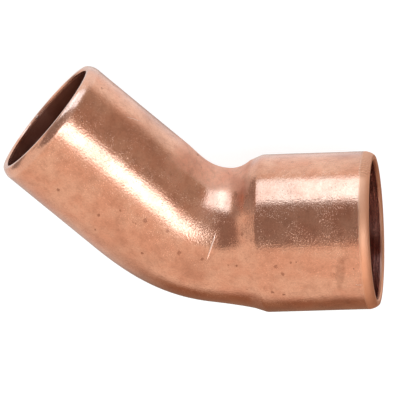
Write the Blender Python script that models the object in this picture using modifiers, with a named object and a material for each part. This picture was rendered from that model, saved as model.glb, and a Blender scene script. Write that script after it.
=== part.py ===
"""A 45 degree street elbow for copper tube of 15.9 mm outside diameter: a plain solder fitting.

One end is a spigot of the tube's own outside diameter, and the other is a cup that takes the tube. The
whole fitting is one seamless piece of copper, so it is one object. It is made here as it is in the works: a
straight blank has the outline of its wall, with the cup expanded and both ends bevelled, and is then bent.

The bend lies in the XY plane. The cup opens towards +X, the spigot points towards -X and +Y, and the
fitting lies on its side, with its lowest point at z = 0 and its box centred on the Z axis.

Run it with: blender --background --python part.py
"""

import math

import bpy
from mathutils import Vector

# Driving dimensions, in metres and degrees.
TUBE_DIAMETER = 0.015875  # the copper tube that the fitting joins, and the spigot
WALL = 0.0010
CUP_BORE = 0.01595  # the tube's diameter and 0.075 mm of room for solder
CUP_DIAMETER = 0.0180
CUP_DEPTH = 0.0127  # from the cup's face to the stop, where the bore starts to narrow
CUP_LENGTH = 0.01247  # from the cup's face to the outside of the shoulder
NECK_DIAMETER = 0.01566  # bending draws the tube in a little
BEND_ANGLE = 45.0
BEND_RADIUS = 0.0175  # of the centreline
CUP_REACH = 0.02142  # from the crossing of the two centrelines to the cup's face
SPIGOT_REACH = 0.02157  # from the same crossing to the spigot's face

# Bending leaves the middle of the bend a little outside its arc, and a little flat from throat to back.
BEND_BULGE = 0.00048
BEND_FLATTENING = 0.00014  # of the radius
BULGE_START = 0.0015  # along X, on the cup's side of the bend

# The shoulder between cup and neck: a cone with a rounded corner at the cup and a wide fillet at the neck.
SHOULDER_SLOPE = 20.0
SHOULDER_CORNER_RADIUS = 0.0013
SHOULDER_NECK_RADIUS = 0.0105
STOP_CORNER_RADIUS = 0.0003

# The rounded bevels outside the two rims, and the small break on their inner edges.
BEVEL_LENGTH = 0.00095
BEVEL_DEPTH = 0.00045
INNER_BREAK = 0.00015

# How finely the curves are cut.
SIDES = 48
BEND_STEPS = 10
FILLET_STEPS = 6
CORNER_STEPS = 3
BEVEL_STEPS = 3

# Lengths that follow from these. The blank lies along X, and its bend starts at x = 0 and runs towards -X.
BEND = math.radians(BEND_ANGLE)
TANGENT = BEND_RADIUS * math.tan(BEND / 2)
ARC = BEND_RADIUS * BEND
CUP_FACE_X = CUP_REACH - TANGENT
SPIGOT_FACE_X = -(ARC + SPIGOT_REACH - TANGENT)


def start_empty():
    """Removes what the scene holds, and returns a new collection for the fitting."""
    for obj in list(bpy.data.objects):
        bpy.data.objects.remove(obj, do_unlink=True)
    collection = bpy.data.collections.new("street_elbow")
    bpy.context.scene.collection.children.link(collection)
    return collection


def smooth_share(share):
    """A share from 0 to 1 that leaves 0 and reaches 1 with no slope."""
    return share * share * (3 - 2 * share)


def shoulder(start_x, cup_radius, neck_radius, corner_radius, fillet_radius):
    """The outline down from a cup's radius to the neck's, towards -X, as (x, radius) points."""
    slope = math.radians(SHOULDER_SLOPE)
    corner = []
    for step in range(CORNER_STEPS + 1):
        turn = slope * step / CORNER_STEPS
        corner.append((
            start_x - corner_radius * math.sin(turn),
            cup_radius - corner_radius * (1 - math.cos(turn)),
        ))
    fillet_rise = fillet_radius * (1 - math.cos(slope))
    cone_length = (corner[-1][1] - neck_radius - fillet_rise) / math.tan(slope)
    end_x = corner[-1][0] - cone_length - fillet_radius * math.sin(slope)
    fillet = []
    for step in range(FILLET_STEPS + 1):
        turn = slope * (1 - step / FILLET_STEPS)
        fillet.append((
            end_x + fillet_radius * math.sin(turn),
            neck_radius + fillet_radius * (1 - math.cos(turn)),
        ))
    return corner + fillet


def rest_of_bend(start_x, neck_radius, spigot_radius):
    """The outline along the bend, from the shoulder's end to the spigot's start."""
    points = []
    for step in range(1, BEND_STEPS + 1):
        share = step / BEND_STEPS
        points.append((
            start_x + (-ARC - start_x) * share,
            neck_radius + (spigot_radius - neck_radius) * smooth_share(share),
        ))
    return points


def bevel(face_x, inwards, radius):
    """A rim's rounded outer bevel, from its face to the outside. inwards is the sign of X into the wall."""
    points = []
    for step in range(BEVEL_STEPS + 1):
        turn = math.pi / 2 * step / BEVEL_STEPS
        points.append((
            face_x + inwards * BEVEL_LENGTH * (1 - math.cos(turn)),
            radius - BEVEL_DEPTH * (1 - math.sin(turn)),
        ))
    return points


def wall_outline():
    """The closed outline of the blank's wall: out along its outside from the cup, back along its bore."""
    tube_radius, cup_radius, neck_radius = TUBE_DIAMETER / 2, CUP_DIAMETER / 2, NECK_DIAMETER / 2
    outer_shoulder = shoulder(
        CUP_FACE_X - CUP_LENGTH, cup_radius, neck_radius, SHOULDER_CORNER_RADIUS, SHOULDER_NECK_RADIUS
    )
    inner_shoulder = shoulder(
        CUP_FACE_X - CUP_DEPTH, CUP_BORE / 2, neck_radius - WALL, STOP_CORNER_RADIUS,
        SHOULDER_NECK_RADIUS + WALL,
    )
    outside = (
        bevel(CUP_FACE_X, -1, cup_radius)
        + outer_shoulder
        + rest_of_bend(outer_shoulder[-1][0], neck_radius, tube_radius)
        + bevel(SPIGOT_FACE_X, 1, tube_radius)[::-1]
    )
    bore = (
        [(CUP_FACE_X, CUP_BORE / 2 + INNER_BREAK), (CUP_FACE_X - INNER_BREAK, CUP_BORE / 2)]
        + inner_shoulder
        + rest_of_bend(inner_shoulder[-1][0], neck_radius - WALL, tube_radius - WALL)
        + [
            (SPIGOT_FACE_X + INNER_BREAK, tube_radius - WALL),
            (SPIGOT_FACE_X, tube_radius - WALL + INNER_BREAK),
        ]
    )
    return outside + bore[::-1]


def turned_blank(outline):
    """The straight blank's mesh: the closed outline, drawn in the XY plane, turned about X."""
    count = len(outline)
    mesh = bpy.data.meshes.new("blank_outline")
    mesh.from_pydata(
        [(x, radius, 0) for x, radius in outline],
        [(i, (i + 1) % count) for i in range(count)],
        [],
    )
    blank = bpy.data.objects.new("blank", mesh)
    bpy.context.scene.collection.objects.link(blank)
    turned = blank.modifiers.new("turned", "SCREW")
    turned.axis = "X"
    turned.angle = math.tau
    turned.steps = turned.render_steps = SIDES
    graph = bpy.context.evaluated_depsgraph_get()
    turned_mesh = bpy.data.meshes.new_from_object(blank.evaluated_get(graph), depsgraph=graph)
    bpy.data.objects.remove(blank, do_unlink=True)
    return turned_mesh


def push_outwards(mesh):
    """Gives the stretch that will be bent its bulge and its flattening. The throat's side is at +Y."""
    for vertex in mesh.vertices:
        along = min(max((BULGE_START - vertex.co.x) / (BULGE_START + ARC), 0), 1)
        share = (1 - math.cos(math.tau * along)) / 2
        throat_side = vertex.co.y / math.hypot(vertex.co.y, vertex.co.z)
        vertex.co.y -= share * (BEND_BULGE + BEND_FLATTENING * throat_side)


def bend(body):
    """Bends the stretch from x = -ARC to 0, so that the spigot swings towards +Y and the cup stays."""
    bent = body.modifiers.new("bent", "SIMPLE_DEFORM")
    bent.deform_method = "BEND"
    bent.deform_axis = "Z"
    bent.angle = BEND
    length = CUP_FACE_X - SPIGOT_FACE_X
    bent.limits = ((-ARC - SPIGOT_FACE_X) / length, -SPIGOT_FACE_X / length)


def copper():
    """The fitting's bare, slightly tarnished copper."""
    material = bpy.data.materials.new("copper")
    material.use_nodes = True
    shader = material.node_tree.nodes["Principled BSDF"]
    shader.inputs["Base Color"].default_value = (0.80, 0.38, 0.23, 1)
    shader.inputs["Metallic"].default_value = 1.0
    shader.inputs["Roughness"].default_value = 0.3
    material.diffuse_color = (0.80, 0.38, 0.23, 1)
    return material


def elbow_body(collection):
    """The whole fitting, with smooth walls and crisp rims."""
    mesh = turned_blank(wall_outline())
    mesh.name = "elbow_body"
    push_outwards(mesh)
    mesh.shade_smooth()
    mesh.set_sharp_from_angle(angle=math.radians(30))
    mesh.materials.clear()
    mesh.materials.append(copper())
    body = bpy.data.objects.new("elbow_body", mesh)
    collection.objects.link(body)
    bend(body)
    return body


def lay_down(body):
    """Puts the middle of the underside of the bent body's box at the origin."""
    bent_body = body.evaluated_get(bpy.context.evaluated_depsgraph_get())
    corners = [Vector(corner) for corner in bent_body.bound_box]
    low = Vector([min(corner[axis] for corner in corners) for axis in range(3)])
    high = Vector([max(corner[axis] for corner in corners) for axis in range(3)])
    body.location = (-(low.x + high.x) / 2, -(low.y + high.y) / 2, -low.z)


def main():
    collection = start_empty()
    lay_down(elbow_body(collection))


main()
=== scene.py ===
"""The looks of the copper street elbow: its fine surface, its metal, and a plain light studio around it.

The elbow is first laid out as the straight blank that it was bent from, along X with the cup at +X, and is
then bent as the real one was. The blank and the fitting's dimensions are in millimetres. The bent fitting
and all else in the scene are in metres.
"""

import math

import bpy
import numpy as np
from mathutils import Matrix, Vector, noise


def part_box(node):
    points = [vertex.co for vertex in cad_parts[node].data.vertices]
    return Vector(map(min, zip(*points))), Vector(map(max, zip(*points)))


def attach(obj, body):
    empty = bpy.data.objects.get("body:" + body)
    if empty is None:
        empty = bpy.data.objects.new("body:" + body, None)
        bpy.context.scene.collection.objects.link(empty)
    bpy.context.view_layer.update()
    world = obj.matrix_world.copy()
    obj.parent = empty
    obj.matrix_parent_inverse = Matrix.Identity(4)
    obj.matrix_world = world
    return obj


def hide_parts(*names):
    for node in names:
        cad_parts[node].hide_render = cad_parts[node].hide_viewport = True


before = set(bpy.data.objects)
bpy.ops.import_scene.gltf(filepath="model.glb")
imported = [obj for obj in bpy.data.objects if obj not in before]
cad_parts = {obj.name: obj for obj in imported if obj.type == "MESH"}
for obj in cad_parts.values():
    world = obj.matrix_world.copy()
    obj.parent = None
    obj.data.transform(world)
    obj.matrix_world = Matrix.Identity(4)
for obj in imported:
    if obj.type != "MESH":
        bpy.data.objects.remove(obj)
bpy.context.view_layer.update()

# One millimetre, in metres.
MM = 0.001

# The fitting's dimensions, in millimetres.
TUBE_RADIUS = 7.9375
WALL = 1.0
CUP_BORE_RADIUS = 7.975
CUP_DEPTH = 12.7
CUP_LENGTH = 12.47
NECK_RADIUS = 7.83
BEND_RADIUS = 17.5
CUP_REACH = 21.42
SPIGOT_REACH = 21.57
BEND_BULGE = 0.48
BEND_FLATTENING = 0.14
BULGE_START = 1.5
SHOULDER_CORNER_RADIUS = 1.3
SHOULDER_NECK_RADIUS = 10.5
STOP_CORNER_RADIUS = 0.3
BEVEL_LENGTH = 0.95
BEVEL_DEPTH = 0.45
INNER_BREAK = 0.15
BEND = math.radians(45)
SLOPE = math.radians(20)

# The cup's size and place come from the frame.
CAD_LOW, CAD_HIGH = [np.array(corner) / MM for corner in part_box("elbow_body")]
CUP_RADIUS = (CAD_HIGH[2] - CAD_LOW[2]) / 2
CROSSING = Vector((CAD_HIGH[0] - CUP_REACH, CAD_LOW[1] + CUP_RADIUS, CAD_LOW[2] + CUP_RADIUS))

TANGENT = BEND_RADIUS * math.tan(BEND / 2)
ARC = BEND_RADIUS * BEND
CUP_FACE_X = CUP_REACH - TANGENT
SPIGOT_FACE_X = -(ARC + SPIGOT_REACH - TANGENT)

# The fine mesh: how finely each curve is cut, and the longest gap along the outline, in millimetres.
SIDES = 240
CORNER_STEPS = 6
FILLET_STEPS = 16
BEND_STEPS = 39
BEVEL_STEPS = 10
SPACING = 0.3

# Edges sharper than this are shaded sharp.
CRISP_ANGLE = math.radians(35)

# How far the drawn wall is off its true radius, in millimetres, as broad waves with finer ones on them.
BROAD_UNEVENNESS = 0.012
FINE_UNEVENNESS = 0.004


# ---- the blank's outline ----

def arc(steps, first, last):
    """Angles from first to last, in radians."""
    return [first + (last - first) * step / steps for step in range(steps + 1)]


def shoulder(start_x, cup_radius, neck_radius, corner_radius, fillet_radius):
    """The outline down from a cup's radius to the neck's, towards -X, as (x, radius) points."""
    corner = [
        (start_x - corner_radius * math.sin(turn), cup_radius - corner_radius * (1 - math.cos(turn)))
        for turn in arc(CORNER_STEPS, 0, SLOPE)
    ]
    cone_drop = corner[-1][1] - neck_radius - fillet_radius * (1 - math.cos(SLOPE))
    end_x = corner[-1][0] - cone_drop / math.tan(SLOPE) - fillet_radius * math.sin(SLOPE)
    fillet = [
        (end_x + fillet_radius * math.sin(turn), neck_radius + fillet_radius * (1 - math.cos(turn)))
        for turn in arc(FILLET_STEPS, SLOPE, 0)
    ]
    return corner + fillet


def rest_of_bend(start_x, neck_radius, spigot_radius):
    """The outline along the bend, from the shoulder's end to the spigot's start."""
    points = []
    for share in np.linspace(0, 1, BEND_STEPS + 1)[1:]:
        eased = share * share * (3 - 2 * share)
        points.append((
            start_x + (-ARC - start_x) * share,
            neck_radius + (spigot_radius - neck_radius) * eased,
        ))
    return points


def bevel(face_x, inwards, radius):
    """A rim's outer bevel from its face to the outside wall, half flat and half quarter ellipse."""
    points = []
    for step in range(BEVEL_STEPS + 1):
        straight = step / BEVEL_STEPS
        turn = straight * math.pi / 2
        inwards_share = 0.5 * straight + 0.5 * (1 - math.cos(turn))
        outwards_share = 0.5 * straight + 0.5 * math.sin(turn)
        points.append((
            face_x + inwards * BEVEL_LENGTH * inwards_share,
            radius - BEVEL_DEPTH * (1 - outwards_share),
        ))
    return points


def filled(points):
    """The same outline with no gap along it over SPACING."""
    result = [points[0]]
    for start, end in zip(points, points[1:]):
        pieces = max(1, math.ceil(math.dist(start, end) / SPACING))
        for piece in range(1, pieces + 1):
            share = piece / pieces
            x = start[0] + (end[0] - start[0]) * share
            radius = start[1] + (end[1] - start[1]) * share
            result.append((x, radius))
    return result


def wall_outline():
    """The closed outline of the blank's wall, as rows of x, radius, inside and cut, the last two 0 or 1."""
    outer_shoulder = shoulder(
        CUP_FACE_X - CUP_LENGTH, CUP_RADIUS, NECK_RADIUS, SHOULDER_CORNER_RADIUS, SHOULDER_NECK_RADIUS
    )
    inner_shoulder = shoulder(
        CUP_FACE_X - CUP_DEPTH, CUP_BORE_RADIUS, NECK_RADIUS - WALL, STOP_CORNER_RADIUS,
        SHOULDER_NECK_RADIUS + WALL,
    )
    cup_bevel = bevel(CUP_FACE_X, -1, CUP_RADIUS)
    spigot_bevel = bevel(SPIGOT_FACE_X, 1, TUBE_RADIUS)[::-1]
    spigot_bore_radius = TUBE_RADIUS - WALL
    outside = outer_shoulder + rest_of_bend(outer_shoulder[-1][0], NECK_RADIUS, TUBE_RADIUS)
    bore = inner_shoulder + rest_of_bend(inner_shoulder[-1][0], NECK_RADIUS - WALL, spigot_bore_radius)
    spigot_rim = [
        (SPIGOT_FACE_X, spigot_bore_radius + INNER_BREAK),
        (SPIGOT_FACE_X + INNER_BREAK, spigot_bore_radius),
    ]
    cup_rim = [
        (CUP_FACE_X - INNER_BREAK, CUP_BORE_RADIUS),
        (CUP_FACE_X, CUP_BORE_RADIUS + INNER_BREAK),
    ]
    runs = [
        (filled(cup_bevel), 0, 1),
        (filled([cup_bevel[-1]] + outside + [spigot_bevel[0]])[1:-1], 0, 0),
        (filled(spigot_bevel + spigot_rim), 0, 1),
        (filled([spigot_rim[-1]] + bore[::-1] + [cup_rim[0]])[1:-1], 1, 0),
        (filled(cup_rim + [cup_bevel[0]])[:-1], 0, 1),
    ]
    return np.array([(x, radius, inside, cut) for run, inside, cut in runs for x, radius in run])


# ---- from the blank to the bent fitting ----

def bent(blank):
    """Where points of the blank, an array in millimetres, go on the bent fitting, in the row's frame."""
    x, y, z = blank.T
    along = np.clip((BULGE_START - x) / (BULGE_START + ARC), 0, 1)
    bulge = (1 - np.cos(math.tau * along)) / 2
    to_throat = y - bulge * (BEND_BULGE + BEND_FLATTENING * y / np.hypot(y, z))
    turn = np.clip(-x / BEND_RADIUS, 0, BEND)
    past_bend = np.clip(-x - ARC, 0, None)
    centre_x = TANGENT + np.clip(x, 0, None) - BEND_RADIUS * np.sin(turn) - past_bend * math.cos(BEND)
    centre_y = BEND_RADIUS * (1 - np.cos(turn)) + past_bend * math.sin(BEND)
    placed = np.stack([centre_x + np.sin(turn) * to_throat, centre_y + np.cos(turn) * to_throat, z], axis=1)
    return (placed + np.array(CROSSING)) * MM


def unevenness(x, angle):
    """How far the drawn wall is off its true radius at one point, in millimetres."""
    waves_along, waves_around, finer = 0.16, 1.3, 3.1
    point = Vector((x * waves_along, math.cos(angle) * waves_around, math.sin(angle) * waves_around))
    return BROAD_UNEVENNESS * noise.noise(point) + FINE_UNEVENNESS * noise.noise(point * finer)


def elbow_mesh():
    """The whole fitting's surface, with each point's place on the blank and its kind of surface on it."""
    outline = wall_outline()
    rings = len(outline)
    angles = np.arange(SIDES) * math.tau / SIDES
    x = np.repeat(outline[:, 0], SIDES)
    radius = np.repeat(outline[:, 1], SIDES)
    inside = np.repeat(outline[:, 2], SIDES)
    cut = np.repeat(outline[:, 3], SIDES)
    angle = np.tile(angles, rings)
    off = np.array([unevenness(a, b) for a, b in zip(x, angle)])
    radius = radius + off * (1 - cut)
    blank = np.stack([x, radius * np.cos(angle), radius * np.sin(angle)], axis=1)
    ring = np.repeat(np.arange(rings), SIDES)
    side = np.tile(np.arange(SIDES), rings)
    next_ring, next_side = (ring + 1) % rings, (side + 1) % SIDES
    faces = np.stack([
        ring * SIDES + side,
        next_ring * SIDES + side,
        next_ring * SIDES + next_side,
        ring * SIDES + next_side,
    ], axis=1)
    mesh = bpy.data.meshes.new("street_elbow")
    mesh.from_pydata(bent(blank).tolist(), [], faces.tolist())
    mesh.shade_smooth()
    mesh.set_sharp_from_angle(angle=CRISP_ANGLE)
    mesh.attributes.new("blank", "FLOAT_VECTOR", "POINT").data.foreach_set("vector", blank.ravel())
    mesh.attributes.new("inside", "FLOAT", "POINT").data.foreach_set("value", inside)
    mesh.attributes.new("cut", "FLOAT", "POINT").data.foreach_set("value", cut)
    return mesh


# ---- the metal ----

class Nodes:
    """Short ways to add nodes to a node tree."""

    def __init__(self, tree):
        self.tree = tree

    def add(self, kind, inputs=(), **settings):
        node = self.tree.nodes.new(kind)
        for name, value in settings.items():
            setattr(node, name, value)
        for name, value in dict(inputs).items():
            if isinstance(value, bpy.types.NodeSocket):
                self.tree.links.new(value, node.inputs[name])
            else:
                node.inputs[name].default_value = value
        return node

    def attribute(self, name, output="Fac"):
        return self.add("ShaderNodeAttribute", attribute_name=name).outputs[output]

    def math(self, operation, first, second=0.0):
        return self.add("ShaderNodeMath", {0: first, 1: second}, operation=operation).outputs[0]

    def placed(self, vector, location=(0, 0, 0), rotation=(0, 0, 0), scale=(1, 1, 1)):
        """The vector in the axes of a shape at location, turned by rotation and of size scale."""
        inputs = {"Vector": vector, "Location": location, "Rotation": rotation, "Scale": scale}
        return self.add("ShaderNodeMapping", inputs, vector_type="TEXTURE").outputs[0]

    def noise(self, vector, scale, detail=2.0, roughness=0.5, stretch=(1, 1, 1)):
        """Noise from 0 to 1 whose features are about 1 / scale across, times stretch along each axis."""
        inputs = {
            "Vector": self.placed(vector, scale=stretch),
            "Scale": scale,
            "Detail": detail,
            "Roughness": roughness,
        }
        return self.add("ShaderNodeTexNoise", inputs).outputs["Fac"]

    def ramp(self, value, low, high, start=0.0, end=1.0):
        """start where value is under low, end where it is over high, and smooth between."""
        inputs = {"Value": value, "From Min": low, "From Max": high, "To Min": start, "To Max": end}
        return self.add("ShaderNodeMapRange", inputs, interpolation_type="SMOOTHSTEP").outputs[0]

    def mix(self, share, first, second):
        """From the first colour to the second."""
        node = self.add("ShaderNodeMix", data_type="RGBA", clamp_factor=True)
        for index, value in ((0, share), (6, first), (7, second)):
            if isinstance(value, bpy.types.NodeSocket):
                self.tree.links.new(value, node.inputs[index])
            else:
                node.inputs[index].default_value = value if index == 0 else (*value, 1)
        return node.outputs[2]

    def bump(self, height, distance, normal=None):
        """Relief of that depth in metres where height goes from 0 to 1."""
        inputs = {"Height": height, "Distance": distance, "Strength": 1.0}
        if normal:
            inputs["Normal"] = normal
        return self.add("ShaderNodeBump", inputs).outputs[0]


# Copper's colour as it is drawn, where it is warmer, with tarnish, freshly cut, and in the bores. The colour
# of tarnish is also used as painted shade where bend and shoulder meet.
BRIGHT = (0.93, 0.45, 0.28)
WARM = (0.87, 0.37, 0.22)
TARNISH_AND_SHADE = (0.36, 0.13, 0.07)
FRESH = (1.0, 0.62, 0.46)
BORE = (0.30, 0.105, 0.065)
CUP_BORE = (0.46, 0.17, 0.12)
CUP_RIM = (0.82, 0.35, 0.18)

# Marks of handling, each at a station along the blank in millimetres and an angle round it in degrees, from
# the throat over the top. Spots also have a width. The others have a length and a width in millimetres, and a
# slant to the blank in degrees. Their places were picked in the photograph and converted to the blank by a
# separate script.
SPOTS = [
    (-22.6, 110, 0.5), (-17.3, 104, 0.6), (-13.0, 81, 0.7), (-11.0, 107, 0.5), (-10.0, 77, 0.5),
    (-7.6, 88, 0.6), (-4.9, 88, 0.5), (-1.9, 91, 0.35), (-1.0, 91, 0.35), (2.8, 114, 0.5),
    (3.5, 91, 0.55), (4.2, 97, 0.6), (5.2, 88, 0.35), (5.9, 88, 0.35),
]
SCRATCHES = [(-4.2, 76, 3.8, 0.24, 98), (-20.9, 16, 2.6, 0.08, -31), (12.6, 109, 0.9, 0.08, 5)]
RIM_NICK = (-27.9, -118, 0.7, 0.5, 90)
DULL_PATCH = (-13.5, 33, 6.0, 4.0, 20)
SCRAPED_PATCH = (-6.0, 64, 9.0, 5.0, 0)
STAIN = (10.7, 98, 5.4, 1.4, 98)

# A duller patch that isn't in the photograph. It weakens a second reflection where bend and shoulder meet.
# Its colour is painted shade, darkened towards the colour of tarnish, and it is rougher too.
SHOULDER_CORNER = (-0.5, 36, 2.6, 3.6, 0)

# How far a mark's edge wanders from one side to the other, in millimetres.
WANDER = 0.5

# The marks that a chattering cutter left round the cup's rim.
CHATTER_MARKS = 130

# Depths of the relief, in metres.
GRAIN_DEPTH = 0.000015
SPECK_DEPTH = 0.000009
DRAW_LINE_DEPTH = 0.000004
CHATTER_DEPTH = 0.0001
BORE_RING_DEPTH = 0.00002
SCRATCH_DEPTH = 0.00002


def mark(n, blank, station, angle, length, width, slant):
    """1 in the middle of a mark on the outer wall, fading to 0 at its edge."""
    radius = CUP_RADIUS if station > 0 else TUBE_RADIUS
    depth = 2.0
    upright = n.placed(blank, rotation=(math.radians(angle), 0, 0))
    own = n.placed(
        upright,
        location=(station, radius, 0),
        rotation=(0, -math.radians(slant), 0),
        scale=(length / 2, depth, width / 2),
    )
    distance = n.add("ShaderNodeVectorMath", {0: own}, operation="LENGTH").outputs["Value"]
    return n.ramp(distance, 0.5, 1.0, 1.0, 0.0)


def all_marks(n, blank, marks):
    """The marks together, from 0 to 1."""
    total = 0.0
    for settings in marks:
        total = n.math("MAXIMUM", mark(n, blank, *settings), total)
    return total


class Surface:
    """Where a point of the fitting is, and the marks that both its colour and its gloss or relief show."""

    def __init__(self, n):
        self.blank = n.attribute("blank", "Vector")
        self.inside = n.attribute("inside")
        self.cut = n.attribute("cut")
        self.station, self.across, up = n.add("ShaderNodeSeparateXYZ", {"Vector": self.blank}).outputs
        around = n.math("ARCTAN2", up, self.across)
        self.at_cup = n.ramp(self.station, 0.0, 1.0)
        self.cup_rim = n.math("MULTIPLY", self.cut, self.at_cup)
        self.worn = self.wandering(n)

        # The chatter is on the rim's stretch next to the throat.
        turns = n.ramp(n.math("SINE", n.math("MULTIPLY", around, CHATTER_MARKS)), -1.0, 1.0)
        beside_throat = n.ramp(self.across, 8.0, 8.5)
        self.chatter = n.math("MULTIPLY", n.math("MULTIPLY", self.cup_rim, turns), beside_throat)

        listed = all_marks(n, self.worn, [(x, angle, width, width, 0) for x, angle, width in SPOTS])
        scattered = n.ramp(n.noise(self.blank, 1.1, 2.0, 0.5), 0.72, 0.77)
        self.spots = n.math("MAXIMUM", listed, scattered)
        self.scratches = all_marks(n, self.blank, SCRATCHES + [RIM_NICK])
        # The corner where bend and shoulder meet, with painted shade in its colour.
        self.corner = mark(n, self.worn, *SHOULDER_CORNER)

    def wandering(self, n):
        """The place on the blank, shifted a little this way and that, so that marks have ragged edges."""
        settings = {"Vector": self.blank, "Scale": 2.2, "Detail": 2.0}
        shift = n.add("ShaderNodeTexNoise", settings).outputs["Color"]
        shift = n.add("ShaderNodeVectorMath", {0: shift, 1: (0.5, 0.5, 0.5)}, operation="SUBTRACT").outputs[0]
        shift = n.add("ShaderNodeVectorMath", {0: shift, "Scale": WANDER}, operation="SCALE").outputs[0]
        return n.add("ShaderNodeVectorMath", {0: self.blank, 1: shift}, operation="ADD").outputs[0]


def metal_colour(n, surface):
    """Bright copper with clouds, mottling, spots and a stain of tarnish, painted shade where bend and
    shoulder meet, and with its cut and inner parts.
    """
    clouds = n.noise(surface.blank, 0.17, 3.0, 0.5)
    blotches = n.noise(surface.blank, 0.3, 5.0, 0.62)
    mottling = n.noise(surface.blank, 0.9, 5.0, 0.6)
    fine = n.noise(surface.blank, 4.5, 2.0, 0.6)
    stain = n.math("MULTIPLY", mark(n, surface.worn, *STAIN), n.ramp(mottling, 0.3, 0.6, 0.22, 0.42))
    colour = n.mix(n.ramp(blotches, 0.35, 0.65), BRIGHT, WARM)
    for darkening in (
        n.ramp(clouds, 0.45, 0.7, 0.0, 0.3),
        n.ramp(mottling, 0.42, 0.75, 0.0, 0.28),
        n.ramp(fine, 0.4, 0.7, 0.0, 0.16),
        n.math("MULTIPLY", surface.spots, 0.7),
        stain,
        # Painted shade in the corner where bend and shoulder meet.
        n.math("MULTIPLY", surface.corner, 0.15),
    ):
        colour = n.mix(darkening, colour, TARNISH_AND_SHADE)
    colour = n.mix(surface.scratches, colour, FRESH)
    colour = n.mix(n.math("MULTIPLY", surface.inside, 0.9), colour, n.mix(surface.at_cup, BORE, CUP_BORE))
    colour = n.mix(n.math("MULTIPLY", surface.cut, 0.25), colour, FRESH)
    colour = n.mix(n.math("MULTIPLY", surface.cup_rim, 0.8), colour, CUP_RIM)
    return n.mix(n.math("MULTIPLY", surface.chatter, 0.15), colour, TARNISH_AND_SHADE)


def metal_roughness(n, surface):
    """Polished by drawing, and rougher where it is spotted, scratched, bored, or cut at the cup's rim."""
    throat = n.math("MULTIPLY", n.ramp(surface.across, 6.9, 7.4), n.math("SUBTRACT", 1.0, surface.at_cup))
    roughness = n.ramp(n.noise(surface.blank, 0.4, 4.0, 0.6), 0.3, 0.7, 0.11, 0.19)
    for place, extra in (
        (surface.spots, 0.2),
        (surface.scratches, 0.2),
        (surface.corner, 0.2),
        (mark(n, surface.worn, *DULL_PATCH), 0.14),
        (surface.inside, n.ramp(surface.at_cup, 0.0, 1.0, 0.22, 0.07)),
        (surface.cut, n.ramp(surface.at_cup, 0.0, 1.0, 0.0, 0.35)),
        (throat, n.ramp(surface.station, -17.0, -12.0, 0.0, 0.4)),
    ):
        roughness = n.math("ADD", roughness, n.math("MULTIPLY", place, extra))
    return roughness


def metal_relief(n, surface):
    """Grain, patches of raised specks, draw lines along the blank, chatter, bore rings and scratches."""
    scraped = n.ramp(mark(n, surface.worn, *SCRAPED_PATCH), 0.0, 1.0, 1.0, 2.0)
    grain = n.math("MULTIPLY", n.noise(surface.blank, 4.0, 3.0, 0.6), scraped)
    patches = n.ramp(n.noise(surface.blank, 0.35, 3.0, 0.6), 0.38, 0.58)
    specks = n.math("MULTIPLY", n.ramp(n.noise(surface.blank, 8.0, 1.0, 0.5), 0.62, 0.74), patches)
    draw_lines = n.noise(surface.blank, 5.0, 2.0, 0.5, stretch=(12, 1, 1))
    rings = n.math("MULTIPLY", n.noise(surface.blank, 3.0, 3.0, 0.7, stretch=(1, 40, 40)), surface.inside)
    normal = None
    for height, depth in (
        (grain, GRAIN_DEPTH),
        (specks, SPECK_DEPTH),
        (draw_lines, DRAW_LINE_DEPTH),
        (surface.chatter, CHATTER_DEPTH),
        (rings, BORE_RING_DEPTH),
        (surface.scratches, SCRATCH_DEPTH),
    ):
        normal = n.bump(height, depth, normal)
    return normal


def copper():
    """Drawn copper that has been handled."""
    material = bpy.data.materials.new("copper")
    material.use_nodes = True
    n = Nodes(material.node_tree)
    surface = Surface(n)
    shader = material.node_tree.nodes["Principled BSDF"]
    shader.inputs["Metallic"].default_value = 1.0
    material.node_tree.links.new(metal_colour(n, surface), shader.inputs["Base Color"])
    material.node_tree.links.new(metal_roughness(n, surface), shader.inputs["Roughness"])
    material.node_tree.links.new(metal_relief(n, surface), shader.inputs["Normal"])
    return material


def elbow():
    """The fitting, standing in for its CAD node."""
    piece = bpy.data.objects.new("street_elbow", elbow_mesh())
    bpy.context.scene.collection.objects.link(piece)
    piece.data.materials.append(copper())
    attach(piece, "root")
    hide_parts("elbow_body")


# ---- the studio ----

# The floor's own glow keeps the shadows on it faint.
FLOOR_HALF_WIDTH = 3.0
FLOOR_COLOUR = (0.3, 0.3, 0.3, 1)
FLOOR_ROUGHNESS = 0.9
FLOOR_GLOW_COLOUR = (1, 1, 0.99, 1)
FLOOR_GLOW = 0.87


def floor():
    """A plain white floor that glows a little.

    The fitting's reflections show the room's lower half in its place, so that they can have dark cards.
    """
    half = FLOOR_HALF_WIDTH
    corners = [(-half, -half, 0), (half, -half, 0), (half, half, 0), (-half, half, 0)]
    mesh = bpy.data.meshes.new("floor")
    mesh.from_pydata(corners, [], [(0, 1, 2, 3)])
    material = bpy.data.materials.new("floor")
    material.use_nodes = True
    shader = material.node_tree.nodes["Principled BSDF"]
    shader.inputs["Base Color"].default_value = FLOOR_COLOUR
    shader.inputs["Roughness"].default_value = FLOOR_ROUGHNESS
    shader.inputs["Emission Color"].default_value = FLOOR_GLOW_COLOUR
    shader.inputs["Emission Strength"].default_value = FLOOR_GLOW
    mesh.materials.append(material)
    ground = bpy.data.objects.new("floor", mesh)
    bpy.context.scene.collection.objects.link(ground)
    ground.visible_glossy = False


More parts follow.
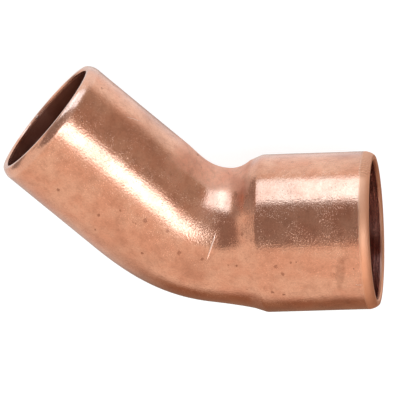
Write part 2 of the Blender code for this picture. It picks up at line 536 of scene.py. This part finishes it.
# What stands round the fitting: its azimuths from +X towards +Y, its elevations and how soft its edges are,
# all in degrees, and the light from it. Later ones are in front.
PLAIN_LIGHT = (0.81, 0.81, 0.80)
AROUND = [
    ("pale table", (-30, 185), (-95, -28), 16, (0.94, 1.08, 1.20)),
    ("grey wall", (12, 60), (-28, 46), 26, (0.42, 0.39, 0.37)),
    ("grey gap", (56, 100), (18, 62), 8, (0.46, 0.46, 0.48)),
    ("dark ceiling", (86, 172), (18, 83), 8, (0.29, 0.27, 0.27)),
    ("dark curtain", (122, 150), (-30, 26), 8, (0.38, 0.38, 0.40)),
    ("foot of the leaning board", (142, 156), (13, 27), 4, (0.84, 0.84, 0.84)),
    ("middle of the leaning board", (149, 161), (24, 34), 4, (0.84, 0.84, 0.84)),
    ("top of the leaning board", (158, 192), (32, 42), 4, (0.84, 0.84, 0.84)),
    ("dark corner", (240, 335), (-78, 0), 20, (0.30, 0.20, 0.14)),
    ("softbox", (62, 117), (-18, 20), 3, (1.35, 2.0, 2.75)),
    ("softbox's middle", (85, 97), (-18, 20), 6, (1.7, 2.8, 3.9)),
    ("dark doorway", (-60, 16), (-32, 34), 12, (0.30, 0.27, 0.26)),
    ("back softbox", (285, 330), (46, 62), 3, (3.0, 3.0, 3.2)),
    ("back curtain", (176, 208), (-24, 6), 8, (0.3, 0.3, 0.31)),
]

# The lowest height of a direction that still counts as overhead, in a sphere of radius 1.
HORIZON = 0.01

# Lamps in the ceiling, by their plan place in heights of the ceiling above the fitting, x then y.
OVERHEAD = [
    ("glow round the strip light", (0.05, 1.10), (-0.05, 0.50), 0.2, (1.0, 1.08, 1.15)),
    ("strip light", (0.20, 1.10), (0.09, 0.45), 0.18, (2.8, 4.0, 5.2)),
]


def room():
    """The light from all round, and plain white where the camera looks past the floor."""
    world = bpy.data.worlds.new("room")
    world.use_nodes = True
    tree = world.node_tree
    n = Nodes(tree)
    direction = n.add("ShaderNodeTexCoord").outputs["Generated"]
    x, y, z = n.add("ShaderNodeSeparateXYZ", {"Vector": direction}).outputs
    azimuth = n.math("DEGREES", n.math("ARCTAN2", y, x))
    elevation = n.math("DEGREES", n.math("ARCSINE", z))
    height = n.math("MAXIMUM", z, HORIZON)
    plan_x, plan_y = n.math("DIVIDE", x, height), n.math("DIVIDE", y, height)

    def within(value, limits, softness, turns=False):
        """1 where the value is well inside the limits, and 0 where it is well outside."""
        off = n.math("SUBTRACT", value, sum(limits) / 2)
        if turns:
            off = n.add("ShaderNodeMath", {0: off, 1: 180.0, 2: -180.0}, operation="WRAP").outputs[0]
        half = (limits[1] - limits[0]) / 2
        return n.ramp(n.math("ABSOLUTE", off), half - softness / 2, half + softness / 2, 1.0, 0.0)

    light = PLAIN_LIGHT
    for _, azimuths, elevations, softness, colour in AROUND:
        beside = within(azimuth, azimuths, softness, turns=True)
        level = within(elevation, elevations, softness)
        light = n.mix(n.math("MULTIPLY", beside, level), light, colour)
    for _, along, across, softness, colour in OVERHEAD:
        share = n.math("MULTIPLY", within(plan_x, along, softness), within(plan_y, across, softness))
        light = n.mix(share, light, colour)
    seen = n.add("ShaderNodeLightPath").outputs["Is Camera Ray"]
    tree.links.new(n.mix(seen, light, (1, 1, 1)), tree.nodes["Background"].inputs["Color"])
    bpy.context.scene.world = world


# The photograph's view, from above and from the throat's side, with a long lens, as fitted to the outline.
CAMERA_AZIMUTH = math.radians(160.567)
CAMERA_ELEVATION = math.radians(65.289)
CAMERA_ROLL = math.radians(164.091)
CAMERA_DISTANCE = 0.5217
CAMERA_TARGET = Vector((0.000824, -0.002175, 0.007198))

# The lens and the film, in millimetres.
FOCAL_LENGTH = 410.26
FILM_WIDTH = 36


def camera():
    """The scene's camera."""
    back = Vector((
        math.sin(CAMERA_AZIMUTH) * math.cos(CAMERA_ELEVATION),
        -math.cos(CAMERA_AZIMUTH) * math.cos(CAMERA_ELEVATION),
        math.sin(CAMERA_ELEVATION),
    ))
    data = bpy.data.cameras.new("camera")
    data.sensor_width = FILM_WIDTH
    data.lens = FOCAL_LENGTH
    data.clip_start = 0.01
    eye = bpy.data.objects.new("camera", data)
    bpy.context.scene.collection.objects.link(eye)
    aim = (-back).to_track_quat("-Z", "Y").to_matrix() @ Matrix.Rotation(-CAMERA_ROLL, 3, "Z")
    place = CAMERA_TARGET + back * CAMERA_DISTANCE
    eye.matrix_world = Matrix.LocRotScale(place, aim.to_quaternion(), None)
    bpy.context.scene.camera = eye


elbow()
floor()
room()
camera()
bpy.context.scene.view_settings.view_transform = "Standard"
